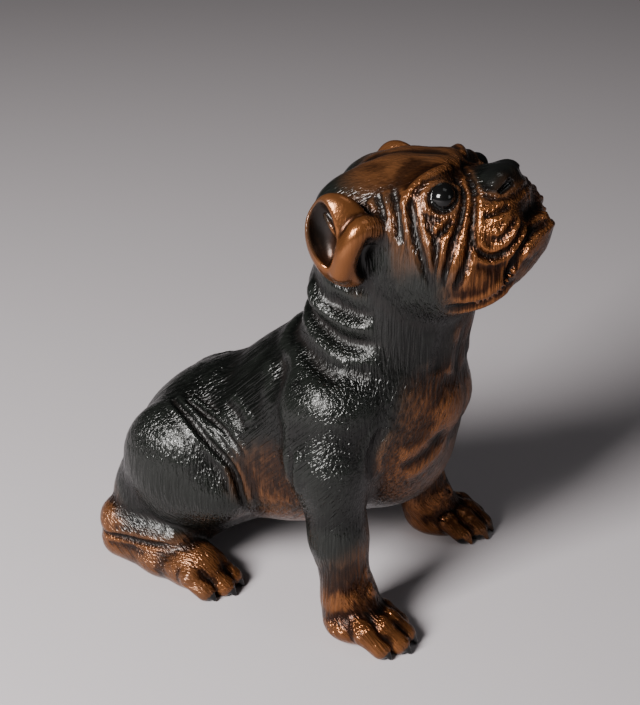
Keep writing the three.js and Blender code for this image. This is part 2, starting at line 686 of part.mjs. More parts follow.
// The finished figure in millimetres: its crown at HEIGHT, its soles flat on the floor, and its
// origin on the floor under the middle of its length and width.
function figure() {
  const { points, triangles } = fewerFacets(surface(lattice()), FACETS);
  const used = [...new Set(triangles.flat())];
  const low = [0, 1, 2].map((i) => used.reduce((least, v) => Math.min(least, points[v][i]), Infinity));
  const high = [0, 1, 2].map((i) => used.reduce((most, v) => Math.max(most, points[v][i]), -Infinity));
  const scale = HEIGHT / (high[2] - SOLE);
  const place = new Map(used.map((v, n) => [v, n]));
  const position = used.flatMap((v) => {
    const [x, y, z] = points[v];
    const floorZ = z < SOLE + SOLE_SNAP ? 0 : z - SOLE;
    return [(x - (low[0] + high[0]) / 2) * scale, (y - (low[1] + high[1]) / 2) * scale, floorZ * scale];
  });
  const geometry = new THREE.BufferGeometry();
  geometry.setAttribute('position', new THREE.Float32BufferAttribute(position, 3));
  geometry.setIndex(triangles.flatMap(([a, b, c]) => [place.get(a), place.get(c), place.get(b)]));
  geometry.computeVertexNormals();
  return geometry;
}

const patina = new THREE.MeshStandardMaterial({ color: 0x33261f, roughness: 0.38, metalness: 0.35 });
const bulldog = new THREE.Mesh(figure(), patina);
bulldog.name = 'bulldog';

const statue = new THREE.Group();
statue.name = 'bulldog_statue';
statue.add(bulldog);

export default statue;
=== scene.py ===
# %% [markdown]
# # A cast bulldog puppy, sitting up and looking at the sky
# The real statue is one hollow casting, about 38 cm tall. Its skin was modelled in clay: round
# muscle masses, deep folds pressed in with a tool, and fur drawn with a fine point. The casting was
# then painted a copper brown, darkened almost to black over the back, and rubbed bright on the high
# places. This lesson builds it in that order: form, folds, fur, and then the coloured patina.

# %% Load the model that the statue has to match
import math
from concurrent.futures import ThreadPoolExecutor

import bpy
import numpy as np
from mathutils import Matrix, Vector


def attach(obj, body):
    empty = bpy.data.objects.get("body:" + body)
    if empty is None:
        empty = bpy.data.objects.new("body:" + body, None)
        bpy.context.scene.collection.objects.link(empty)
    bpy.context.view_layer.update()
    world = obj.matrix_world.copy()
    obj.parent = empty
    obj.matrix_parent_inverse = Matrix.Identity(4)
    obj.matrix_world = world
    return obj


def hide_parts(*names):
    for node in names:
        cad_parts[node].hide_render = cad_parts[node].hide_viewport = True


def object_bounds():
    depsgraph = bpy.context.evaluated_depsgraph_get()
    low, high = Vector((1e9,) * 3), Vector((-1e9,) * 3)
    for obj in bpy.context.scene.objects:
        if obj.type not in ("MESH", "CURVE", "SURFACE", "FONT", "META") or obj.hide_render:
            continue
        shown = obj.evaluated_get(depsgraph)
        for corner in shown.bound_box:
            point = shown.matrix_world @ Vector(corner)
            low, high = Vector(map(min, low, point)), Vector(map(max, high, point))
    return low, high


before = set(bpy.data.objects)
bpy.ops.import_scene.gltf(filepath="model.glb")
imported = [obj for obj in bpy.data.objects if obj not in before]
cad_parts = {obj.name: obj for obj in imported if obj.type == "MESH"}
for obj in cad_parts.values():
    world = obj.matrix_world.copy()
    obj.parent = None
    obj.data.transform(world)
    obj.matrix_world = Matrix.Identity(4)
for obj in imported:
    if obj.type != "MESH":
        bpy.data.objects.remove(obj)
cad_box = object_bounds()
print("the statue's box, in metres:", [tuple(round(c, 4) for c in corner) for corner in cad_box])

# %% [markdown]
# ## Proportions
# A sculptor works in shares of the height. Here one unit is a hundredth of the figure before its
# soles are cut flat. The dog faces -Y, its left side is +X and the floor is near Z = 0. The head has
# directions of its own, because the muzzle is tipped up: forward along the face, up through the
# crown, and across.

# %% Units and the head's own directions
SOLE = 0.8
HEAD_TIP = math.radians(38)
HEAD_AT = np.array([0, -20, 86])
HEAD_FORWARD = np.array([0, -math.cos(HEAD_TIP), math.sin(HEAD_TIP)])
HEAD_UP = np.array([0, math.sin(HEAD_TIP), math.cos(HEAD_TIP)])
ACROSS = np.array([1.0, 0, 0])
FIGURE_HEIGHT = cad_box[1].z


def head_point(forward, up, across):
    """A point given in the head's directions, in figure units."""
    return HEAD_AT + forward * HEAD_FORWARD + up * HEAD_UP + across * ACROSS


def turned(pitch=0.0, yaw=0.0):
    """Axes turned about X and then about Z, in degrees, one axis to a column."""
    about_z = Matrix.Rotation(math.radians(yaw), 3, "Z")
    about_x = Matrix.Rotation(math.radians(pitch), 3, "X")
    return np.array(about_z @ about_x)


print("the head's middle is at", HEAD_AT, "and its forward direction is", HEAD_FORWARD.round(2))

# %% [markdown]
# ## Clay in numbers
# A mesh could be pushed about with sculpting brushes, but a script has no hand. It is easier to
# describe the form as a distance: for any point in space, how far it is from the skin, negative
# inside. Two masses melt together when the smaller of their distances is taken with a rounded
# corner, which is what a thumb does to clay. An egg and a tapering bar are all the masses needed.

# %% Masses, and how they melt together
def lump(centre, radii, turn=np.eye(3)):
    """An egg-shaped mass."""
    axes = [(turn[:, i], radii[i]) for i in range(3)]

    def distance(x, y, z):
        dx, dy, dz = x - centre[0], y - centre[1], z - centre[2]
        shares = [(dx * axis[0] + dy * axis[1] + dz * axis[2]) / radius for axis, radius in axes]
        size = np.sqrt(sum(s * s for s in shares))
        slope = np.sqrt(sum((s / radius) ** 2 for s, (axis, radius) in zip(shares, axes)))
        return size * (size - 1) / np.maximum(slope, 1e-6)

    return distance


def limb(start, end, start_radius, end_radius):
    """A round bar from one point to another."""
    along = [end[i] - start[i] for i in range(3)]
    reach = sum(c * c for c in along)

    def distance(x, y, z):
        dx, dy, dz = x - start[0], y - start[1], z - start[2]
        t = np.clip((dx * along[0] + dy * along[1] + dz * along[2]) / reach, 0, 1)
        gap = (dx - t * along[0]) ** 2 + (dy - t * along[1]) ** 2 + (dz - t * along[2]) ** 2
        return np.sqrt(gap) - (start_radius + (end_radius - start_radius) * t)

    return distance


def head_lump(forward, up, across, r_across, r_forward, r_up, pitch=0.0):
    axes = np.stack([ACROSS, HEAD_FORWARD, HEAD_UP], 1) @ turned(pitch)
    return lump(head_point(forward, up, across), (r_across, r_forward, r_up), axes)


def head_limb(start, end, start_radius, end_radius):
    return limb(head_point(*start), head_point(*end), start_radius, end_radius)


def join(a, b, width):
    """Two distances melted together with a fillet of this width."""
    h = np.maximum(width - np.abs(a - b), 0) / width
    return np.minimum(a, b) - h * h * width / 4


def cut(a, b, width):
    """The second form taken out of the first."""
    return -join(-a, b, width)


def joined(masses, x, y, z):
    total = masses[0][0](x, y, z)
    for mass, fillet in masses[1:]:
        total = join(total, mass(x, y, z), fillet)
    return total


ball = lump((0, 0, 0), (5, 5, 5))
print("3 outside a ball of radius 5, the distance is", round(float(ball(8.0, 0.0, 0.0)), 2))

# %% [markdown]
# ## The big masses
# The body is a heavy barrel that leans back on the rump, with the chest carried high between two
# straight forelegs. Each row is a mass and the width of the fillet to the masses before it. Only
# one side is described: the other is its mirror image.

# %% Body, legs and feet
TRUNK = [
    (limb((0, -8, 41), (0, 19, 28), 19.5, 16.5), 1),
    (lump((0, 29.5, 17.5), (17.5, 15.5, 18.5)), 8),
    (lump((0, -11, 46), (19.5, 17.3, 18)), 6),
    (lump((0, -14.5, 49), (12, 12.2, 10)), 6),
    (lump((0, -13.5, 35), (13, 14.1, 14)), 6),
    (lump((0, 5, 24.3), (15, 17, 10)), 6),
    (limb((0, -19.4, 73), (0, -14.2, 56), 14.1, 15.4), 7),
    (lump((0, -9, 79.5), (12, 9.5, 9), turned(20)), 4),
    (lump((0, -6, 69), (11.5, 6.2, 8)), 4),
    (lump((0, 4.5, 48), (11, 11, 7.4), turned(-32)), 6),
    (lump((3, -27.5, 47), (4.5, 3.6, 4.5)), 4),
    (lump((12, 25.6, 26), (10, 14.1, 14.6), turned(-22)), 3),
    (lump((9, 36, 15.5), (9, 8.2, 9)), 3),
    (lump((14.5, 17.5, 23.3), (6.5, 8, 7)), 3),
    (lump((0, 26, 36), (10, 13, 6.5), turned(-35)), 5),
    (lump((0, 45.5, 13), (3.4, 3.2, 4.2), turned(30)), 2),
]

# Across from the foot's middle line, back from the longest toe, radius.
TOES = [(-4.7, 2.4, 2.25), (-1.65, 0, 2.5), (1.65, 0, 2.5), (4.7, 2.6, 2.25)]
claw_tips = []


def toes(root_x, root_y, tip_x, tip_y, size):
    """Four toes of a foot, each with its claw."""
    parts = []
    for across, back, radius in TOES:
        r = radius * size
        root = (root_x + across * 0.6 * size, root_y + 3.0, 6.6)
        knuckle = (tip_x + across * 0.98 * size, tip_y + back * size + 3.6, 5.0)
        tip = (tip_x + across * 1.08 * size, tip_y + back * size, 2.7)
        point = (tip[0] + across * 0.05, tip[1] - r * 0.95, 1.4)
        claw_tips.append(point)
        parts.append((limb(root, knuckle, r * 0.9, r * 1.0), 0.7))
        parts.append((limb(knuckle, tip, r * 0.98, r * 0.88), 0.7))
        parts.append((limb((tip[0], tip[1] - r * 0.5, 3.0), point, r * 0.42, r * 0.2), 0.3))
    return parts


HIND_LEG = [
    (limb((14, 40.8, 5.6), (16.2, 30, 5.0), 4.9, 4.6), 1),
    (limb((16.2, 30, 5.0), (17.6, 19.5, 4.4), 4.6, 4.6), 3),
    (limb((14.2, 40.5, 10.5), (15.5, 27, 10), 5.2, 4.8), 1.2),
    (lump((17.6, 22, 5.0), (5.8, 6.5, 4.8)), 2),
    *toes(17.2, 19.4, 17.5, 13.9, 1.04),
]
FORE_LEG = [
    (limb((14.5, -7, 47), (18, -9, 37), 9, 7.5), 1),
    (lump((16.5, -10, 48.5), (7.5, 8.5, 8), turned(-20)), 3),
    (limb((18.5, -10, 38), (19.6, -12.3, 22), 7.4, 5.5), 5),
    (limb((19.6, -12.3, 22), (20.2, -14.8, 9), 5.5, 5.0), 3),
    (limb((20.4, -15.4, 8), (21.4, -19.6, 4.4), 5.5, 4.4), 3),
    (lump((21.3, -16.9, 4.0), (6.6, 6.6, 4.0)), 2),
    *toes(21.4, -20.8, 22.2, -27.3, 1),
]
print("body and legs:", len(TRUNK + HIND_LEG + FORE_LEG), "masses, with", len(claw_tips), "claws a side")

# %% [markdown]
# The head is as wide as the chest. The muzzle is short and its flews hang below the jaw, so it is
# built from the skull outwards: brow, cheek, the pads under the nose, the hanging lip and the chin.

# %% Skull, muzzle and nose
SKULL = [
    (head_lump(-3, 0.8, 0, 14.3, 14.5, 12.0), 1),
    (head_lump(-8, 4.0, 6, 8, 10, 9.8), 3),
    (head_lump(7.4, 2.5, 6, 5.6, 5.3, 3.9), 2.5),
    (head_lump(7.6, 3.8, 0, 5.5, 5.3, 3.4), 3),
    (head_lump(1, -8, 7.5, 9, 12, 12.5), 5),
    (head_lump(12.8, -6.2, 0, 8.7, 8.8, 7.2), 3.5),
    (head_lump(12.4, -9.8, 5.8, 5.6, 7.7, 7.8), 2),
    (head_lump(7, -14, 8, 5, 6.4, 7.2), 2.5),
    (head_lump(12.7, -15.6, 0, 8.3, 8.6, 5.1, 10), 1.6),
    (head_lump(9.5, -16, 3.5, 6, 6.5, 5.1), 2.5),
    (head_limb((20.9, -14.6, 0), (17, -16.2, 5.5), 1.7, 1.5), 1.2),
]
NOSE = [
    (head_lump(17.3, -3.6, 0, 3.6, 4.6, 3.2), 1),
    (head_lump(17.8, -3.6, 2.9, 3.0, 3.6, 3.0), 0.8),
]
# What is taken out of the belly between the hind legs.
groin = lump((0, 17, 1), (13, 8.5, 10))
# The left forepaw stands this far ahead and outward, which grows between these two heights.
LEFT_REACH, LEFT_SPREAD = 1.5, 2.1
REACH_FROM, REACH_FULL = 46, 16


def left_share(x, z):
    """How much of its step forward the left foreleg has at a height."""
    return np.where(x > 0, np.clip((REACH_FROM - z) / (REACH_FROM - REACH_FULL), 0, 1), 0)


def plain_form(x, y, z):
    """The figure's masses, before anything is set in or pressed in."""
    side, share = np.abs(x), left_share(x, z)
    d = joined(TRUNK, side, y, z)
    d = join(d, joined(FORE_LEG, side - LEFT_SPREAD * share, y + LEFT_REACH * share, z), 3)
    d = join(d, joined(HIND_LEG, side, y, z), 1.5)
    d = join(d, joined(SKULL, side, y, z), 3)
    d = join(d, joined(NOSE, side, y, z), 0.8)
    return cut(d, groin(side, y, z), 4)


print("head:", len(SKULL + NOSE), "masses")

# %% [markdown]
# ## Lines on the skin
# Folds, lids and lips follow lines. A line is a few points that are joined by a smooth curve, and
# every point of the curve is then slid on to the skin, so that a groove keeps an even depth however
# the masses swell below it.

# %% Smooth lines laid on the form
def smooth_line(points, steps=5):
    """Points of a Catmull-Rom curve through the given ones."""
    p = np.asarray(points, float)
    p = np.vstack([2 * p[0] - p[1], p, 2 * p[-1] - p[-2]])
    t = (np.arange(steps) / steps)[:, None]
    spans = [
        0.5 * (2 * p[i] + (p[i + 1] - p[i - 1]) * t
               + (2 * p[i - 1] - 5 * p[i] + 4 * p[i + 1] - p[i + 2]) * t ** 2
               + (3 * p[i] - p[i - 1] - 3 * p[i + 1] + p[i + 2]) * t ** 3)
        for i in range(1, len(p) - 2)
    ]
    return np.vstack([*spans, p[-2]])


def onto_skin(points, passes=8, step=0.05):
    """Points moved on to the plain form, straight along its slope."""
    p = np.array(points, float)
    for _ in range(passes):
        d = plain_form(*p.T)
        slope = np.stack([(plain_form(*(p + step * axis).T) - d) / step for axis in np.eye(3)], 1)
        p -= (d / np.maximum(0.5, (slope ** 2).sum(1)))[:, None] * slope
    p[:, 0] = np.maximum(p[:, 0], 0)
    return p


def line_distance(line, x, y, z):
    """Distance from points to a line of short steps, and how far along the line it is measured."""
    best, along_line = np.full(x.shape, np.inf), np.zeros(x.shape)
    for n, (a, b) in enumerate(zip(line[:-1], line[1:])):
        along = b - a
        reach = along @ along
        if reach > 1e-9:
            dx, dy, dz = x - a[0], y - a[1], z - a[2]
            t = np.clip((dx * along[0] + dy * along[1] + dz * along[2]) / reach, 0, 1)
            gap = (dx - t * along[0]) ** 2 + (dy - t * along[1]) ** 2 + (dz - t * along[2]) ** 2
            along_line = np.where(gap < best, (n + t) / (len(line) - 1), along_line)
            best = np.minimum(best, gap)
    return np.sqrt(best), along_line


def near_line(line, margin, x, y, z):
    """Which points lie in the box around a line, so that the others cost nothing."""
    low, high = line.min(0) - margin, line.max(0) + margin
    return (x > low[0]) & (x < high[0]) & (y > low[1]) & (y < high[1]) & (z > low[2]) & (z < high[2])


def on_head(*points):
    return [head_point(*p) for p in points]


print("a line through 3 points has", len(smooth_line([(0, 0, 0), (1, 0, 0), (1, 1, 0)])), "points")

# %% [markdown]
# ## The folds
# A puppy of this breed wears more skin than it needs. Round the face the folds are sharp grooves
# between rounded rolls, and on the neck and chest they are broad and soft. Each row gives a line,
# the groove's half width, its depth and how much the skin swells beside it.

# %% Face folds
FACE_FOLDS = [
    (on_head((6.5, 4.4, 11.9), (6.0, 1.1, 13.6), (4.9, -2.7, 15.3), (3.5, -8.0, 16.2),
             (1.1, -14, 15.5)),
     0.75, 1.2, 0.3),
    (on_head((7.6, -2.4, 13.6), (7.4, -4.6, 14.6), (6.6, -6.4, 15.4)), 0.5, 0.7, 0.15),
    (on_head((11.6, -4.0, 11.4), (9.6, -4.6, 13.4), (7.9, -5.2, 14.6), (4.9, -9.4, 16),
             (1.5, -14, 15.4)),
     0.6, 1.1, 0.3),
    (on_head((13.4, 2.8, 4.6), (13.8, -2.4, 8.8), (10.2, -6.8, 13.2), (6.7, -10.4, 15.3),
             (2.6, -14, 15.6)),
     0.6, 1.3, 0.3),
    (on_head((15.2, 1.8, 2.8), (15.0, -4.0, 9.0), (10.6, -10.8, 13.1), (7.6, -13.3, 14.3),
             (4.6, -15.4, 14.5)),
     0.65, 1.5, 0.3),
    (on_head((4.4, 7.2, 10.8), (3.6, 2.2, 14.2), (1.6, -2.7, 16)), 0.9, 0.7, 0.4),
    (on_head((1.5, 7.8, 12.1), (1.5, 5.1, 13.5), (0.9, 1.9, 14.6)), 0.8, 0.6, 0.3),
    (on_head((23.2, -14.6, 0), (21.6, -14.3, 2.8), (19.8, -14.1, 5), (18, -15.3, 7.4),
             (16, -16.6, 8.4), (13, -18, 8.8), (10, -19.6, 9)),
     0.7, 1.9, 0.2),
    (on_head((15.6, -6.6, 10.4), (18.6, -7.5, 8.6), (19.7, -7.8, 6.6)), 0.55, 0.9, 0.25),
    (on_head((13.2, -7.6, 11.3), (12.0, -10.9, 11.8), (13.0, -13.4, 10.8), (16.1, -13.9, 9.0),
             (19.0, -12.2, 6.8), (19.6, -11.8, 5.8)),
     0.6, 1.3, 0.35),
    (on_head((14.9, -10.2, 11), (16.4, -11.6, 10.2), (18.6, -10.6, 8.2), (19.3, -10.1, 6.8)),
     0.5, 0.85, 0.25),
    (on_head((22.4, -7.5, 0), (23, -10, 0), (23, -12.4, 0)), 0.5, 0.35, 0.05),
    (on_head((13.8, 3.0, 0), (15.0, 1.2, 3.2), (15.6, -2.8, 6.8), (17.6, -6.2, 6.4),
             (20.6, -7.0, 3.2), (21.6, -7, 0)),
     0.5, 0.4, 0.1),
    (on_head((0, -17, 14), (3.5, -19.6, 12.4), (6.5, -20.8, 11), (10, -21.2, 9.6), (13.5, -20.4, 7.8)),
     1.0, 1.9, 0.6),
    (on_head((11.5, 6.2, 0), (6, 10.4, 0), (-1, 12.6, 0)), 1.6, 0.4, 0.2),
]
print("face folds:", len(FACE_FOLDS))

# %% [markdown]
# The body's folds say how the dog sits: the neck is pushed back into rolls, the skin is creased
# where the thigh meets the flank, and it gathers at the elbow, the wrists and the hock.

# %% Body folds
BODY_FOLDS = [
    ([(6, -3, 73), (11, -6.6, 69.4), (14, -12.6, 68.9), (14.6, -18, 69.5)], 1.6, 0.7, 0.5),
    ([(0, 0.5, 69), (8, -1.5, 66), (12.7, -6.4, 64.2), (15.4, -12.8, 63),
      (15.4, -20, 64)], 1.6, 0.8, 0.5),
    ([(0, 4.5, 63), (8.2, 3, 60.6), (14.4, -3, 59.4), (18, -8.7, 57), (19.5, -13, 55)], 1.8, 0.7, 0.4),
    ([(10, 5, 57), (14, 3, 54), (17.5, 1, 49), (20, 0, 43), (20.5, 0.5, 37)], 2.0, 0.5, 0.35),
    ([(10.5, 30, 41.5), (13.5, 26, 40), (16.3, 20, 37), (18, 12.5, 31.7), (18.5, 9.5, 25),
      (17, 9, 19)], 0.7, 1.2, 0.45),
    ([(12, 26, 42.6), (14, 21.5, 41.6), (16.5, 14.5, 38.5), (18, 8.5, 33.5)], 0.6, 0.7, 0.35),
    ([(14, 17, 44.5), (16, 13, 43), (17.5, 9, 40)], 1.0, 0.35, 0.25),
    ([(17.2, 44.5, 8.2), (19.2, 38, 9.0), (20, 31, 9.4), (20.2, 25, 10.4)], 0.6, 1.0, 0.3),
    ([(25, -3.5, 43), (25.6, -4, 38), (24.5, -4.2, 33)], 0.9, 0.7, 0.4),
    ([(17.5, -21.5, 48), (18.8, -19, 42), (18.5, -17.5, 35)], 1.0, 0.9, 0.3),
    ([(26.4, -14, 12.6), (23, -19.8, 11.6), (19, -20.4, 11.8)], 0.55, 0.6, 0.3),
    ([(26, -12, 16.4), (23, -18, 15.4), (18.5, -19, 15.6)], 0.55, 0.45, 0.25),
    ([(5.5, -31, 43), (10, -28, 39), (15, -23.5, 36)], 1.5, 0.5, 0.3),
    ([(3.5, -33, 66), (3.2, -33, 60), (3.6, -32, 54)], 1.5, 0.4, 0.2),
    ([(9, -31, 67), (8.5, -30, 60), (9.5, -29, 56)], 1.8, 0.5, 0.3),
]
folds = [(onto_skin(smooth_line(points)), *sizes) for points, *sizes in FACE_FOLDS + BODY_FOLDS]
# The share of a fold's length in which it runs out.
RUN_OUT = 0.22
# How the groove falls off to its sides, and how many half widths away the rolls beside it are.
GROOVE_FALL, GROOVE_POWER = 1.35, 1.4
ROLL_AT = 2


def fold_depth(fold, x, y, z):
    """How far a fold lowers the skin: a groove between two rolls, which runs out at its ends.
    An end on the dog's middle line meets its mirror image there, and doesn't run out."""
    line, width, depth, swell = fold
    away, along = line_distance(line, x, y, z)
    t = away / width
    first = 1 if line[0, 0] < 0.5 else along / RUN_OUT
    last = 1 if line[-1, 0] < 0.5 else (1 - along) / RUN_OUT
    fade = np.clip(np.minimum(first, last), 0, 1)
    groove = depth * np.exp(-GROOVE_FALL * t ** GROOVE_POWER)
    roll = swell * np.exp(-((t - ROLL_AT) ** 2))
    return fade * fade * (3 - 2 * fade) * (groove - roll)


print("folds:", len(folds))

# %% [markdown]
# ## Eyes, ears and nostrils
# The eye is a ball that looks out between two lids, with a thick brow over it. The ear is a rose
# ear: a cupped leaf whose front edge folds forward and hangs down. Both are set into the head after
# the folds, so that no groove runs across them.

# %% Lids, eyeballs, ears and nostrils
RIDGES = [
    (on_head((8.0, 0, 12.0), (9.1, 2.4, 11.6), (11.2, 3.2, 10.5), (13.0, 2.0, 8.8),
             (13.9, 0.2, 7.6)), 0.42),
    (on_head((8.0, 0, 12.0), (9.2, -2.2, 12.0), (11.3, -2.9, 11.0), (13.2, -1.6, 9.2),
             (13.9, 0.2, 7.6)), 0.25),
    (on_head((5.6, 3.4, 13.0), (8.2, 5.4, 11.6), (11.2, 5.6, 8.6), (13.4, 4.2, 4.6)), 0.6),
]
LID_FILLET = 1.0
ridges = [(onto_skin(smooth_line(points)), radius) for points, radius in RIDGES]
EYE_AT, EYE_RADIUS = head_point(11.0, 0.3, 9.7), 2.5
eyeball = lump(EYE_AT, (EYE_RADIUS,) * 3)
EAR_TURN = turned(-15, -8)
ear_leaf = lump((16.3, -11.2, 84.2), (3.3, 6.8, 9.4), EAR_TURN)
ear_cup = lump((18.8, -8.2, 86.2), (3.0, 3.0, 6.6), EAR_TURN)
ear_gap = lump((16.6, -18.2, 79.6), (4.2, 3.5, 5.2), EAR_TURN)
ear_flap = smooth_line([(14, -17.8, 86.6), (17.6, -15.6, 87.6), (18.6, -13.6, 83.6), (17.8, -12.0, 78.8)])
EAR_FLAP_RADIUS = 2.3
EAR_RIDGES = [
    (smooth_line([(15.6, -9, 91), (17, -11.4, 89.4), (17.4, -14, 88)]), 0.8),
    (smooth_line([(16.6, -8.4, 88.6), (17.9, -10.4, 86.8), (18.2, -12.4, 85.2)]), 0.6),
]
lip_points = on_head((6, -19.2, 11.4), (8.5, -19.8, 10.6), (11.5, -19.8, 9.6), (14, -18.8, 8.6))
lip = onto_skin(smooth_line(lip_points))
LIP_RADIUS, LIP_BEAD, LIP_BEADS = 0.35, 0.3, 9
nostril = head_limb((20.9, -4.6, 3.4), (19.3, -4.9, 5.4), 0.85, 0.6)
# Fillets round the eyeball, the nostril, the lip, the forms of the ear, and the ear on the head.
EYE_FILLET, NOSTRIL_FILLET, LIP_FILLET, EAR_FILLET, EAR_SET = 0.15, 0.5, 0.6, 0.8, 1.0
# Nothing of the face lies below this height.
FACE_FROM = 60


def with_face(d, side, y, z):
    """The head's small forms set into the skin at distance d."""
    for line, radius in ridges:
        near = near_line(line, radius + 4, side, y, z)
        d[near] = join(d[near], line_distance(line, side[near], y[near], z[near])[0] - radius, LID_FILLET)
    d = join(d, eyeball(side, y, z), EYE_FILLET)
    d = cut(d, nostril(side, y, z), NOSTRIL_FILLET)
    near = near_line(lip, 3, side, y, z)
    away, along = line_distance(lip, side[near], y[near], z[near])
    bead = LIP_RADIUS + LIP_BEAD * np.cos(2 * np.pi * LIP_BEADS * along)
    d[near] = join(d[near], away - bead, LIP_FILLET)
    flap = line_distance(ear_flap, side, y, z)[0] - EAR_FLAP_RADIUS
    cupped = cut(ear_leaf(side, y, z), ear_cup(side, y, z), EAR_SET)
    ear = join(cut(cupped, ear_gap(side, y, z), EAR_FILLET), flap, EAR_FILLET)
    for line, radius in EAR_RIDGES:
        ear = join(ear, line_distance(line, side, y, z)[0] - radius, EAR_FILLET)
    return join(d, ear, EAR_SET)


def form(x, y, z):
    """Distance from points to the finished skin, in figure units."""
    side = np.abs(x)
    share = np.where(y < 0, left_share(x, z), 0)
    across, back = side - LEFT_SPREAD * share, y + LEFT_REACH * share
    d = plain_form(x, y, z)
    for fold in folds:
        near = near_line(fold[0], fold[1] * 4, across, back, z)
        if near.any():
            d[near] += fold_depth(fold, across[near], back[near], z[near])
    high = z > FACE_FROM
    if high.any():
        d[high] = with_face(d[high], side[high], y[high], z[high])
    return np.maximum(d, SOLE - z)


print("ridges:", len(ridges), "at the eye and", len(EAR_RIDGES), "in the ear")

# %% [markdown]
# ## From distances to a mesh
# The distances are measured on a lattice of small cells, and the skin goes through every cell whose
# corners are partly inside and partly outside. To save time a coarse lattice is measured first, and
# only the blocks that the skin can pass through are measured again, finely.

# %% Measure the distances
# The floor lies midway between two layers of the lattice, so that the soles come out flat.
SPACING = 0.27
LOW, HIGH = np.array([-33.0, -51, SOLE - 2.5 * SPACING]), np.array([33.0, 51, 101])
# Cells along the side of a block.
BLOCK = 4


def measured(points, batch=60000):
    """The form's distance at many points, in batches on several threads."""
    parts = [points[i:i + batch] for i in range(0, len(points), batch)]
    with ThreadPoolExecutor(4) as pool:
        return np.concatenate(list(pool.map(lambda p: form(*p.T.copy()), parts))).astype(np.float32)


def lattice_values():
    """The distances on the whole lattice, exact near the skin and rough elsewhere."""
    blocks = np.ceil((HIGH - LOW) / (SPACING * BLOCK)).astype(int)
    corners = np.stack(np.meshgrid(*[np.arange(n + 1) for n in blocks], indexing="ij"), -1).reshape(-1, 3)
    coarse = measured(LOW + corners * SPACING * BLOCK).reshape(blocks + 1)
    window = [slice(None, -1), slice(1, None)]
    eight = [coarse[i, j, k] for i in window for j in window for k in window]
    reach = SPACING * BLOCK * 1.1
    near = (np.minimum.reduce(eight) < reach) & (np.maximum.reduce(eight) > -reach)
    values = np.ones(blocks * BLOCK + 1, np.float32)
    inner = np.repeat(np.repeat(np.repeat(coarse[:-1, :-1, :-1], BLOCK, 0), BLOCK, 1), BLOCK, 2)
    values[:-1, :-1, :-1] = inner
    cells = np.stack(np.meshgrid(*[np.arange(BLOCK)] * 3, indexing="ij"), -1).reshape(-1, 3)
    places = (np.argwhere(near)[:, None, :] * BLOCK + cells[None]).reshape(-1, 3)
    values[tuple(places.T)] = measured(LOW + places * SPACING)
    return values


values = lattice_values()
print("lattice:", values.shape, "and its cells are", SPACING, "units wide")

# %% [markdown]
# Each cut cell gives one point, the middle of the places where the skin crosses the cell's edges.
# The four cells round a cut edge then give a face, so the mesh is closed from the start.

# %% Lay the faces
CELL_CORNERS = np.array([(i, j, k) for k in (0, 1) for j in (0, 1) for i in (0, 1)])
PAIRS = [(a, b) for a in range(8) for b in range(a + 1, 8)]
CELL_EDGES = [(a, b) for a, b in PAIRS if abs(CELL_CORNERS[a] - CELL_CORNERS[b]).sum() == 1]


def skin_of(values):
    """Points and four-sided faces where the distance is zero."""
    inside = values < 0
    shape = np.array(values.shape) - 1
    windows = [tuple(slice(c[i], c[i] + shape[i]) for i in range(3)) for c in CELL_CORNERS]
    count = sum(inside[window].astype(np.int8) for window in windows)
    cells = np.argwhere((count > 0) & (count < 8))
    number = np.full(shape, -1, np.int32)
    number[tuple(cells.T)] = np.arange(len(cells))
    at_corner = np.stack([values[tuple((cells + c).T)] for c in CELL_CORNERS], 1)
    total, hits = np.zeros((len(cells), 3)), np.zeros(len(cells))
    for a, b in CELL_EDGES:
        va, vb = at_corner[:, a], at_corner[:, b]
        crossed = (va < 0) != (vb < 0)
        share = va[crossed] / (va[crossed] - vb[crossed])
        total[crossed] += CELL_CORNERS[a] + (CELL_CORNERS[b] - CELL_CORNERS[a]) * share[:, None]
        hits[crossed] += 1
    points = LOW + (cells + total / hits[:, None]) * SPACING
    faces = []
    for axis in range(3):
        u, v = np.eye(3, dtype=int)[[(axis + 1) % 3, (axis + 2) % 3]]
        ahead = np.eye(3, dtype=int)[axis]
        here = inside[tuple(slice(1, n) if i != axis else slice(0, n) for i, n in enumerate(shape))]
        there = inside[tuple(slice(1, n) if i != axis else slice(1, n + 1) for i, n in enumerate(shape))]
        edges = np.argwhere(here != there) + (1 - ahead)
        ring = [number[tuple((edges - offset).T)] for offset in (u + v, v, 0 * u, u)]
        ring = np.stack(ring, 1)
        leaving = inside[tuple(edges.T)]
        ring[~leaving] = ring[~leaving][:, ::-1]
        faces.append(ring)
    return points, np.vstack(faces)


points, faces = skin_of(values)
del values
print("skin:", len(points), "points and", len(faces), "faces")

# %% [markdown]
# ## Into metres
# The figure is scaled until its crown is as high as the model's, and its middle is put over the
# model's middle. The same numbers place the camera later.

# %% Scale and place
low, high = points.min(0), points.max(0)
SCALE = FIGURE_HEIGHT / (high[2] - SOLE)
MIDDLE = np.array([(low[0] + high[0]) / 2, (low[1] + high[1]) / 2, SOLE])


def to_metres(p):
    return (np.asarray(p) - MIDDLE) * SCALE


def to_units(p):
    return np.asarray(p) / SCALE + MIDDLE


print("one unit is", round(SCALE * 1000, 3), "mm, and the middle is at", MIDDLE.round(2))

# %% [markdown]
# ## Which way the fur lies
# Fur grows away from the nose, down the neck, back along the flank and down the legs. A few guide
# strokes say so, and any point on the skin takes the direction of the guides near it. Strokes are
# later drawn along five fixed directions, and each point is told how much of each it shows, because
# a pattern that turns with every point would be sheared out of shape.

# %% Guide strokes
def head_way(forward, up, across=0.0):
    return forward * HEAD_FORWARD + up * HEAD_UP + across * ACROSS


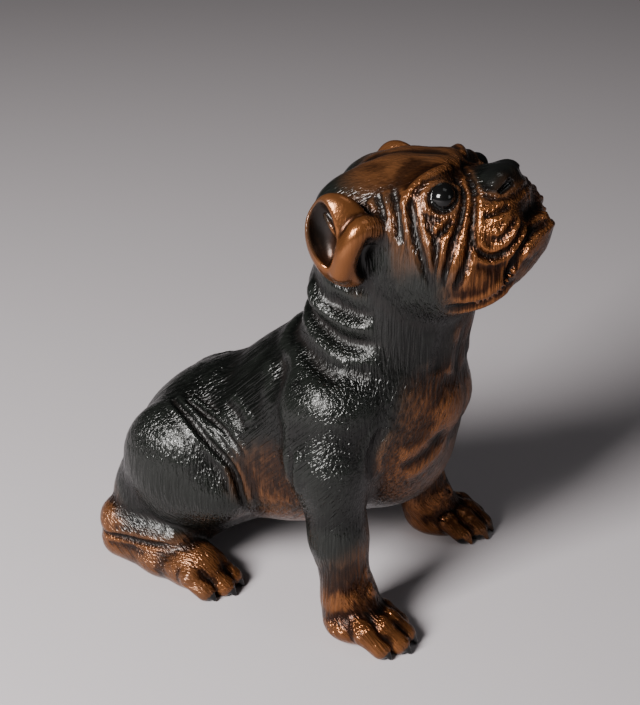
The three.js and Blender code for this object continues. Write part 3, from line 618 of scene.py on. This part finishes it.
GUIDES = [
    (head_point(0, 11, 4), head_way(-1, 0)), (head_point(10, 6, 3), head_way(-0.8, 0.5)),
    (head_point(3, 0, 15), head_way(-0.4, -0.9)), (head_point(-3, 6, 11), head_way(-0.9, -0.3)),
    (head_point(17, -10, 8), head_way(-0.7, -0.5)), (head_point(12, -15, 10), head_way(-0.6, -0.8)),
    (head_point(17, -19, 2), head_way(-0.9, -0.2)), (head_point(18, -3, 3), head_way(-0.9, 0.3)),
    ((14, -12, 68), (0, 0.1, -1)), ((4, 0, 78), (0, 0.6, -0.8)), ((3, -33, 60), (0, 0, -1)),
    ((6, -31, 46), (0.3, 0, -0.95)), ((14, -25, 44), (0.5, 0, -0.85)), ((0, 5, 16), (0, 1, 0)),
    ((24, -10, 50), (0, 0.4, -0.9)), ((26, -12, 38), (0, 0.5, -0.86)), ((22, -16, 15), (0, 0.1, -1)),
    ((22, -24, 6), (0, -0.9, -0.4)), ((8, 8, 56), (0.1, 0.7, -0.7)), ((8, 28, 44), (0.1, 0.6, -0.8)),
    ((6, 42, 28), (0, 0.4, -0.9)), ((19, 5, 38), (0, 0.45, -0.9)), ((21, 25, 30), (0, 0.1, -1)),
    ((20, 14, 22), (0, -0.3, -0.95)), ((14, 42, 22), (0, 0.3, -0.95)), ((19, 22, 6), (0, -0.95, -0.3)),
    ((16, 40, 7), (0, -0.85, -0.5)),
]
GUIDE_REACH = 9.0
WAYS = {
    "level": (0, 1, 0),
    "back": (0, 0.71, -0.71),
    "down": (0, 0, 1),
    "forward": (0, 0.71, 0.71),
    "out": (0.5, 0, -0.87),
}
# The higher this is, the less of the directions that lie further from the fur's own.
FIRMNESS = 7.0


def fur_shares(units):
    """For points in figure units, the share of each of the fixed directions in their fur."""
    side = units.copy()
    side[:, 0] = np.abs(side[:, 0])
    flow = np.zeros_like(side)
    for at, way in GUIDES:
        weight = np.exp(-((side - at) ** 2).sum(1) / GUIDE_REACH ** 2) + 1e-9
        flow += weight[:, None] * np.asarray(way)
    flow /= np.maximum(np.linalg.norm(flow, axis=1), 1e-9)[:, None]
    along = [flow @ np.asarray(way) for way in WAYS.values()]
    shares = np.stack([np.exp(FIRMNESS * (a ** 2 - 1)) for a in along], 1)
    return shares / np.linalg.norm(shares, axis=1)[:, None]


print("fur:", len(GUIDES), "guide strokes on each side")

# %% [markdown]
# ## Where each finish shows
# The painter left the face, ears, chest, feet and the underside copper brown and darkened the rest.
# Soft egg-shaped patches say how brown a place is. Eyes, nose and claws are bare and glossy, and
# the ears are smooth, so fur is left off them. On the crown it is only lightly marked.

# %% Patches of copper brown, and bare places
# Each row is the middle of a patch, its radii and how brown it is, or how much it darkens.
BROWN = [
    (head_point(13, -6, 6), (13, 13, 13), 1.0),
    (head_point(16, -12, 5), (11, 10, 11), 1.0),
    (head_point(9, 2, 9), (7, 6, 7), 0.9),
    (head_point(9, -17, 8), (9, 9, 9), 1.0),
    ((17, -11, 84), (6, 9, 11), 1.0),
    (head_point(2, -2, 14), (5, 8, 8), 0.5),
    (head_point(3, 9, 4), (10, 10, 7), 0.5),
    ((0, -34, 63), (6.5, 7, 16), 0.85),
    ((5, -30, 45), (13, 10, 14), 0.7),
    ((8, -26, 35), (13, 10, 13), 0.7),
    ((19, 2, 30), (8, 10, 9), 0.5),
    ((8, 2, 18), (12, 14, 6), 0.6),
    ((22, -19, 4), (9, 12, 13), 1.0),
    ((20, -16, 12), (8, 8, 11), 0.65),
    ((16, -17, 26), (5, 6, 12), 0.45),
    ((14, 43, 7), (8, 9, 10), 0.8),
    ((18, 19, 4), (8, 13, 8), 0.75),
    ((19, 33, 5), (7, 12, 7), 0.6),
]
DARK = [
    (head_point(18, -2.5, 0), (8, 5, 5), 1.0),
    (head_point(-4, -8, 10), (12, 10, 10), 0.5),
    ((24, -13, 28), (4, 6, 12), 0.4),
    (head_point(11.5, 0.3, 10), (4.6, 4.4, 4.4), 0.55),
    # The next patch, in the gap under the ear's hanging flap, is painted shade: it darkens the skin where
    # the flap casts its shadow.
    ((14.2, -17.6, 80.5), (4.5, 3.4, 5.5), 1.0),
    ((18, -7.4, 86.2), (3, 2.8, 6), 0.8),
]
BARE = [(EYE_AT, EYE_RADIUS * 1.07), *[(tip, 1.5) for tip in claw_tips]]
NOSE_BARE = (head_point(19.0, -3.6, 1.5), (5.5, 3.6, 3.6))
EAR_BARE = ((17.5, -11.1, 84.4), (4.5, 7.5, 10))
CROWN_SMOOTH = (head_point(3, 9, 3), (12, 11, 8))


def soft_patch(side, centre, radii, edge=0.5):
    """1 inside an egg, 0 outside, with a soft border."""
    away = np.sqrt((((side - centre) / radii) ** 2).sum(1))
    t = np.clip((1 + edge - away) / (2 * edge), 0, 1)
    return t * t * (3 - 2 * t)


def finishes(units):
    """Brown, gloss and fur for points in figure units, each from 0 to 1."""
    side = units.copy()
    side[:, 0] = np.abs(side[:, 0])
    brown = np.zeros(len(side))
    for centre, radii, amount in BROWN:
        brown = np.maximum(brown, amount * soft_patch(side, centre, radii))
    for centre, radii, amount in DARK:
        brown *= 1 - amount * soft_patch(side, centre, radii)
    gloss = np.zeros(len(side))
    for centre, radius in BARE:
        gloss = np.maximum(gloss, soft_patch(side, centre, radius, 0.06))
    nose = soft_patch(side, *NOSE_BARE, 0.15)
    ear = soft_patch(side, *EAR_BARE, 0.15)
    crown = soft_patch(side, *CROWN_SMOOTH)
    fur = (1 - gloss) * (1 - 0.8 * nose) * (1 - 0.9 * ear) * (1 - 0.6 * crown)
    fur *= np.clip((units[:, 2] - SOLE) / 2 - 0.3, 0, 1)
    return brown * (1 - gloss), np.maximum(gloss, 0.6 * nose), fur


print("patches:", len(BROWN), "brown and", len(DARK), "dark, and", len(BARE), "glossy spots a side")

# %% [markdown]
# The mesh carries the shares and the finishes as three vectors at every point.

# %% Attributes that carry them
def give(mesh, name, values):
    """Stores one number or one vector for each point of a mesh."""
    values = np.asarray(values, np.float32)
    kind, field = ("FLOAT", "value") if values.ndim == 1 else ("FLOAT_VECTOR", "vector")
    attribute = mesh.attributes.get(name) or mesh.attributes.new(name, kind, "POINT")
    attribute.data.foreach_set(field, values.ravel())


def mesh_points(mesh):
    found = np.empty(len(mesh.vertices) * 3, np.float32)
    mesh.vertices.foreach_get("co", found)
    return found.reshape(-1, 3).astype(float)


def paint(mesh):
    """Writes the fur directions and the finishes on a mesh in metres."""
    units = to_units(mesh_points(mesh))
    shares = fur_shares(units)
    brown, gloss, fur = finishes(units)
    give(mesh, "ways_one", shares[:, :3])
    give(mesh, "ways_two", np.stack([shares[:, 3], shares[:, 4], fur], 1))
    give(mesh, "finish", np.stack([brown, gloss, fur], 1))


def mesh_from(name, points, faces):
    """A mesh of points and faces that all have the same number of corners."""
    mesh = bpy.data.meshes.new(name)
    mesh.vertices.add(len(points))
    mesh.vertices.foreach_set("co", points.astype(np.float32).ravel())
    mesh.loops.add(faces.size)
    mesh.loops.foreach_set("vertex_index", faces.astype(np.int32).ravel())
    mesh.polygons.add(len(faces))
    mesh.polygons.foreach_set("loop_start", np.arange(0, faces.size, faces.shape[1], dtype=np.int32))
    mesh.update(calc_edges=True)
    return mesh


clay = mesh_from("clay", to_metres(points), faces)
paint(clay)
print("clay:", len(clay.polygons), "faces, painted with", list(clay.attributes.keys()))

# %% [markdown]
# ## Sums on sockets
# A node tree for a finish is mostly arithmetic. One small class wraps a socket, so that a sum on
# sockets is written as a sum, and one method makes every other kind of node.

# %% The wire
class Wire:
    """An output socket of a node tree."""

    def __init__(self, tree, socket):
        self.tree, self.socket = tree, socket

    def node(self, kind, settings=None, sockets=None, output=0):
        """Adds a node to this wire's tree: its settings first, then its sockets' values or wires."""
        made = self.tree.nodes.new(kind)
        for name, value in (settings or {}).items():
            setattr(made, name, value)
        for key, value in (sockets or {}).items():
            if isinstance(value, Wire):
                self.tree.links.new(value.socket, made.inputs[key])
            else:
                made.inputs[key].default_value = value
        return Wire(self.tree, made.outputs[output])

    def maths(self, operation, *others):
        values = {i + 1: other for i, other in enumerate(others)}
        return self.node("ShaderNodeMath", {"operation": operation}, {0: self, **values})

    def __add__(self, other):
        return self.maths("ADD", other)

    def __sub__(self, other):
        return self.maths("SUBTRACT", other)

    def __mul__(self, other):
        return self.maths("MULTIPLY", other)

    def __rsub__(self, other):
        return self.node("ShaderNodeMath", {"operation": "SUBTRACT"}, {0: other, 1: self})

    __radd__, __rmul__ = __add__, __mul__

    def dot(self, way):
        return self.node("ShaderNodeVectorMath", {"operation": "DOT_PRODUCT"}, {0: self, 1: way}, "Value")

    def parts(self):
        return [self.node("ShaderNodeSeparateXYZ", None, {0: self}, i) for i in range(3)]

    def ramp(self, start, end, low=0.0, high=1.0):
        """A smooth step from low to high while this goes from start to end."""
        settings = {"interpolation_type": "SMOOTHSTEP"}
        return self.node("ShaderNodeMapRange", settings, {0: self, 1: start, 2: end, 3: low, 4: high})

    def noise(self, scale, detail=2.0, roughness=0.5):
        sockets = {"Vector": self, "Scale": scale, "Detail": detail, "Roughness": roughness}
        return self.node("ShaderNodeTexNoise", None, sockets)

    def mixed(self, first, second):
        """The colour between two colours that this share gives."""
        return self.node("ShaderNodeMix", {"data_type": "RGBA"}, {0: self, 6: first, 7: second}, 2)


print("a wire's methods, besides its sums:", [name for name in vars(Wire) if name[0] != "_"])

# %% [markdown]
# ## Strokes of fur
# A stroke is long one way and narrow the other two, so it is noise in a stretched space. The five
# directions are mixed by the shares that the skin carries. The same sum is used twice: wide strokes
# push the mesh itself, and narrow ones tint and dent the finish.

# %% One sum for both uses
def strokes(position, ways_one, ways_two, width, length, detail=1.0):
    """Height of the fur drawing, about -0.5 to 0.5, from a position and the carried shares."""
    x, y, z = position.parts()
    mirrored = position.node("ShaderNodeCombineXYZ", None, {0: x.maths("ABSOLUTE"), 1: y, 2: z})
    shares = ways_one.parts() + ways_two.parts()[:2]
    total = None
    for share, (name, way) in zip(shares, WAYS.items()):
        along = Vector(way).normalized()
        first = along.orthogonal().normalized()
        second = along.cross(first)
        place = mirrored if name == "out" else position
        stretched = place.node("ShaderNodeCombineXYZ", None, {
            0: place.dot(first / width), 1: place.dot(second / width), 2: place.dot(along / length)})
        drawn = (stretched.noise(1.0, detail) - 0.5) * share
        total = drawn if total is None else total + drawn
    return total


print("strokes are drawn in", len(WAYS), "directions")

# %% [markdown]
# The wide tufts are pressed into the skin by Geometry Nodes, because they follow the surface by one
# rule: along the normal, by the height of the drawing. The depth is an input of the tree, so the
# sculptor can try a deeper coat without touching the nodes.

# %% Tufts pressed into the skin
# In metres.
TUFT_WIDTH, TUFT_LENGTH, TUFT_DEPTH = 0.0026, 0.02, 0.0008


def tuft_tree():
    """The tree that presses the tufts in, and the names of its inputs."""
    tree = bpy.data.node_groups.new("tufts", "GeometryNodeTree")
    tree.interface.new_socket("Geometry", in_out="INPUT", socket_type="NodeSocketGeometry")
    inputs = {}
    for name, kind in {"Depth": "NodeSocketFloat", "Finish": "NodeSocketMaterial"}.items():
        socket = tree.interface.new_socket(name, in_out="INPUT", socket_type=kind)
        inputs[name] = socket.identifier
    tree.interface.new_socket("Geometry", in_out="OUTPUT", socket_type="NodeSocketGeometry")
    start = tree.nodes.new("NodeGroupInput")
    geometry, depth, finish = (Wire(tree, start.outputs[i]) for i in range(3))
    position = geometry.node("GeometryNodeInputPosition")
    attribute = ("GeometryNodeInputNamedAttribute", {"data_type": "FLOAT_VECTOR"})
    carried = [geometry.node(*attribute, {"Name": name}) for name in ("ways_one", "ways_two")]
    height = strokes(position, *carried, TUFT_WIDTH, TUFT_LENGTH, 0.0) * carried[1].parts()[2] * depth
    normal = geometry.node("GeometryNodeInputNormal")
    offset = normal.node("ShaderNodeVectorMath", {"operation": "SCALE"}, {0: normal, "Scale": height})
    moved = geometry.node("GeometryNodeSetPosition", None, {"Geometry": geometry, "Offset": offset})
    real = moved.node("GeometryNodeRealizeInstances", None, {0: moved})
    done = real.node("GeometryNodeSetMaterial", None, {"Geometry": real, "Material": finish})
    end = tree.nodes.new("NodeGroupOutput")
    tree.links.new(done.socket, end.inputs[0])
    return tree, inputs


tufts, tuft_inputs = tuft_tree()
print("tuft tree:", len(tufts.nodes), "nodes")

# %% [markdown]
# ## The patina
# Black over copper brown, and bright where hands and cloths have rubbed it. The height of the skin
# against its surroundings, carried by the mesh, says what is raised and what is hollow. The border
# between black and brown breaks up along the strokes, as a dry brush leaves it.

# %% The finish of the casting
# The fine strokes, in metres.
STROKE_WIDTH, STROKE_LENGTH, STROKE_DEPTH = 0.0017, 0.026, 0.0005
# How many clouds and grains of the paint go to a metre.
CLOUDS, GRAIN = 24.0, 900.0
BLACK, RUBBED_BLACK = (0.0015, 0.0018, 0.0015, 1), (0.006, 0.007, 0.006, 1)
COPPER, RUBBED_COPPER = (0.018, 0.0055, 0.0022, 1), (0.24, 0.09, 0.03, 1)
GRIME, GLOSS_BLACK = (0.004, 0.003, 0.0027, 1), (0.003, 0.003, 0.003, 1)


def patina_finish():
    """Black over copper, with grime in the hollows and gloss on the bare places."""
    material = bpy.data.materials.new("patina")
    material.use_nodes = True
    tree = material.node_tree
    shader = tree.nodes["Principled BSDF"]
    start = Wire(tree, tree.nodes.new("ShaderNodeTexCoord").outputs["Object"])
    carried = [start.node("ShaderNodeAttribute", {"attribute_name": name}, None, "Vector")
               for name in ("ways_one", "ways_two", "finish")]
    brown, gloss, fur = carried[2].parts()
    relief = start.node("ShaderNodeAttribute", {"attribute_name": "relief"}, None, "Fac")
    drawn = strokes(start, carried[0], carried[1], STROKE_WIDTH, STROKE_LENGTH) * fur
    cloudy = start.noise(CLOUDS, 3.0) - 0.5
    grain = start.noise(GRAIN, 2.0) - 0.5
    raised = relief.ramp(-0.1, 0.7)
    hollow = relief.ramp(-0.15, -0.9) * (0.3 + fur * 0.7) * (1 - gloss)
    share = (brown + drawn * 0.1 + cloudy * 0.2).ramp(0.05, 1.0)
    black = (raised + drawn).mixed(BLACK, RUBBED_BLACK)
    copper = (raised * 0.9 + drawn * 0.9 + cloudy).ramp(-0.3, 1.5).mixed(COPPER, RUBBED_COPPER)
    painted = share.mixed(black, copper)
    colour = gloss.mixed((hollow * 0.9).mixed(painted, GRIME), GLOSS_BLACK)
    links = tree.links
    links.new(colour.socket, shader.inputs["Base Color"])
    rough = (0.27 + cloudy * 0.15 + grain * 0.05 - raised * 0.06 + hollow * 0.15) * (1 - gloss * 0.75)
    links.new(rough.socket, shader.inputs["Roughness"])
    links.new(((0.05 + share * 0.75) * (1 - gloss)).socket, shader.inputs["Metallic"])
    shader.inputs["Specular IOR Level"].default_value = 0.3
    shader.inputs["Coat Weight"].default_value = 0.08
    shader.inputs["Coat Roughness"].default_value = 0.25
    height = drawn.ramp(-0.2, 0.2) + grain * 0.02
    dents = {"Strength": 1.0, "Distance": STROKE_DEPTH, "Height": height}
    bump = height.node("ShaderNodeBump", None, dents)
    links.new(bump.socket, shader.inputs["Normal"])
    return material


patina = patina_finish()
print("patina:", len(patina.node_tree.nodes), "nodes")

# %% [markdown]
# ## One casting
# The fine skin has several hundred thousand faces, more than a part should carry. Decimate closes the
# edges that matter least, so that the face keeps its folds and the smooth flanks give up most.

# %% Press the tufts and thin the mesh
MOST_TRIANGLES = 190000


def cast_of(clay):
    """The clay's mesh with the tufts pressed in, thinned to what a part may carry."""
    worked = bpy.data.objects.new("clay", clay)
    bpy.context.scene.collection.objects.link(worked)
    pressed = worked.modifiers.new("tufts", "NODES")
    pressed.node_group = tufts
    pressed[tuft_inputs["Depth"]] = TUFT_DEPTH
    pressed[tuft_inputs["Finish"]] = patina
    thinned = worked.modifiers.new("thinned", "DECIMATE")
    thinned.ratio = min(1.0, MOST_TRIANGLES / (2 * len(clay.polygons)))
    thinned.use_collapse_triangulate = True
    bpy.context.view_layer.update()
    ready = worked.evaluated_get(bpy.context.evaluated_depsgraph_get())
    mesh = bpy.data.meshes.new_from_object(ready)
    bpy.data.objects.remove(worked)
    mesh.name = "bulldog_cast"
    return mesh


cast = cast_of(clay)
cast.shade_smooth()
print("cast:", len(cast.polygons), "triangles")

# %% [markdown]
# How high a point stands above its surroundings is measured by smoothing a copy of the mesh many
# times and seeing how far the point moved. It is what a dry brush finds by touch.

# %% Measure the relief
SMOOTHINGS = 24


def relief_of(mesh):
    """Millimetres that each point stands above the smoothed skin."""
    start = mesh_points(mesh)
    edges = np.empty(len(mesh.edges) * 2, np.int32)
    mesh.edges.foreach_get("vertices", edges)
    a, b = edges.reshape(-1, 2).T
    count = np.bincount(a, minlength=len(start)) + np.bincount(b, minlength=len(start))
    smooth = start.copy()
    for _ in range(SMOOTHINGS):
        for i in range(3):
            total = np.bincount(a, smooth[b, i], len(start)) + np.bincount(b, smooth[a, i], len(start))
            smooth[:, i] = 0.5 * smooth[:, i] + 0.5 * total / np.maximum(count, 1)
    normals = np.empty(len(start) * 3, np.float32)
    mesh.vertex_normals.foreach_get("vector", normals)
    return ((start - smooth) * normals.reshape(-1, 3)).sum(1) * 1000


paint(cast)
relief = relief_of(cast)
give(cast, "relief", relief)
print("relief, in millimetres:", np.percentile(relief, [2, 25, 50, 75, 98]).round(2))

# %% [markdown]
# The finished casting takes the model's place. It sits at the origin, with its place in its mesh.

# %% The casting stands for the model
bulldog = bpy.data.objects.new("bulldog_casting", cast)
bpy.context.scene.collection.objects.link(bulldog)
cast.materials.clear()
cast.materials.append(patina)
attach(bulldog, "root")
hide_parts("bulldog")
print("casting:", bulldog.name)

# %% [markdown]
# ## Floor, camera and light
# The statue stands on a plain pale floor, wide enough to fill the view.

# %% Floor
FLOOR_HALF = 4.0
floor_corners = np.array([(-1, -1, 0), (1, -1, 0), (1, 1, 0), (-1, 1, 0)]) * FLOOR_HALF
floor_mesh = mesh_from("floor", floor_corners, np.array([(0, 1, 2, 3)]))
floor = bpy.data.objects.new("floor", floor_mesh)
bpy.context.scene.collection.objects.link(floor)
floor_paint = bpy.data.materials.new("floor_paint")
floor_paint.use_nodes = True
floor_shader = floor_paint.node_tree.nodes["Principled BSDF"]
floor_shader.inputs["Base Color"].default_value = (0.44, 0.41, 0.43, 1)
floor_shader.inputs["Roughness"].default_value = 0.85
floor_mesh.materials.append(floor_paint)
print("floor:", FLOOR_HALF * 2, "m square")

# %% [markdown]
# The photograph looks down at the dog's right side from a little in front. The camera stands in the
# same place, found from the figure's own proportions.

# %% Camera
CAMERA_AZIMUTH, CAMERA_ELEVATION = math.radians(-67), math.radians(26)
CAMERA_DISTANCE = 326.91
LOOK_AT = np.array([0, 0, 51.65])
FOCAL_PIXELS, FRAME_LONG_SIDE, SENSOR = 1590, 705, 36
towards_camera = Vector((
    math.sin(CAMERA_AZIMUTH) * math.cos(CAMERA_ELEVATION),
    -math.cos(CAMERA_AZIMUTH) * math.cos(CAMERA_ELEVATION),
    math.sin(CAMERA_ELEVATION),
))
camera_data = bpy.data.cameras.new("camera")
camera_data.sensor_width = SENSOR
camera_data.lens = FOCAL_PIXELS * SENSOR / FRAME_LONG_SIDE
camera = bpy.data.objects.new("camera", camera_data)
bpy.context.scene.collection.objects.link(camera)
camera.location = to_metres(LOOK_AT + CAMERA_DISTANCE * np.array(towards_camera))
camera.rotation_mode = "QUATERNION"
camera.rotation_quaternion = towards_camera.to_track_quat("Z", "Y")
camera_data.clip_end = 50
bpy.context.scene.camera = camera
print("camera:", round(camera_data.lens, 1), "mm lens at", tuple(round(c, 3) for c in camera.location))

# %% [markdown]
# A big soft light stands at the left and above, so that shadows fall to the right. Two weak ones in
# front and overhead, and a faint glow of the room, keep the shaded side readable.

# %% Lights
def softbox(name, place, aim, size, power, colour=(1, 1, 1)):
    """A square lamp at a place, turned towards an aim."""
    data = bpy.data.lights.new(name, "AREA")
    data.size, data.energy, data.color = size, power, colour
    light = bpy.data.objects.new(name, data)
    bpy.context.scene.collection.objects.link(light)
    light.location = place
    light.rotation_mode = "QUATERNION"
    light.rotation_quaternion = (Vector(place) - Vector(aim)).to_track_quat("Z", "Y")
    return light


CHEST_HIGH = (0, 0, 0.2)
softbox("key", (-1.7, 0.6, 1.2), CHEST_HIGH, 0.8, 142, (1, 0.98, 0.95))
softbox("fill", (-0.3, -1.9, 0.8), CHEST_HIGH, 0.6, 3)
softbox("top", (0.1, -0.5, 2.2), CHEST_HIGH, 0.8, 3)
world = bpy.data.worlds.new("studio")
world.use_nodes = True
world.node_tree.nodes["Background"].inputs["Color"].default_value = (0.92, 0.90, 0.93, 1)
world.node_tree.nodes["Background"].inputs["Strength"].default_value = 0.03
bpy.context.scene.world = world
print("lights: key, fill, top and the room")

# %% [markdown]
# The casting has to stay inside the model's box, apart from a small allowance.
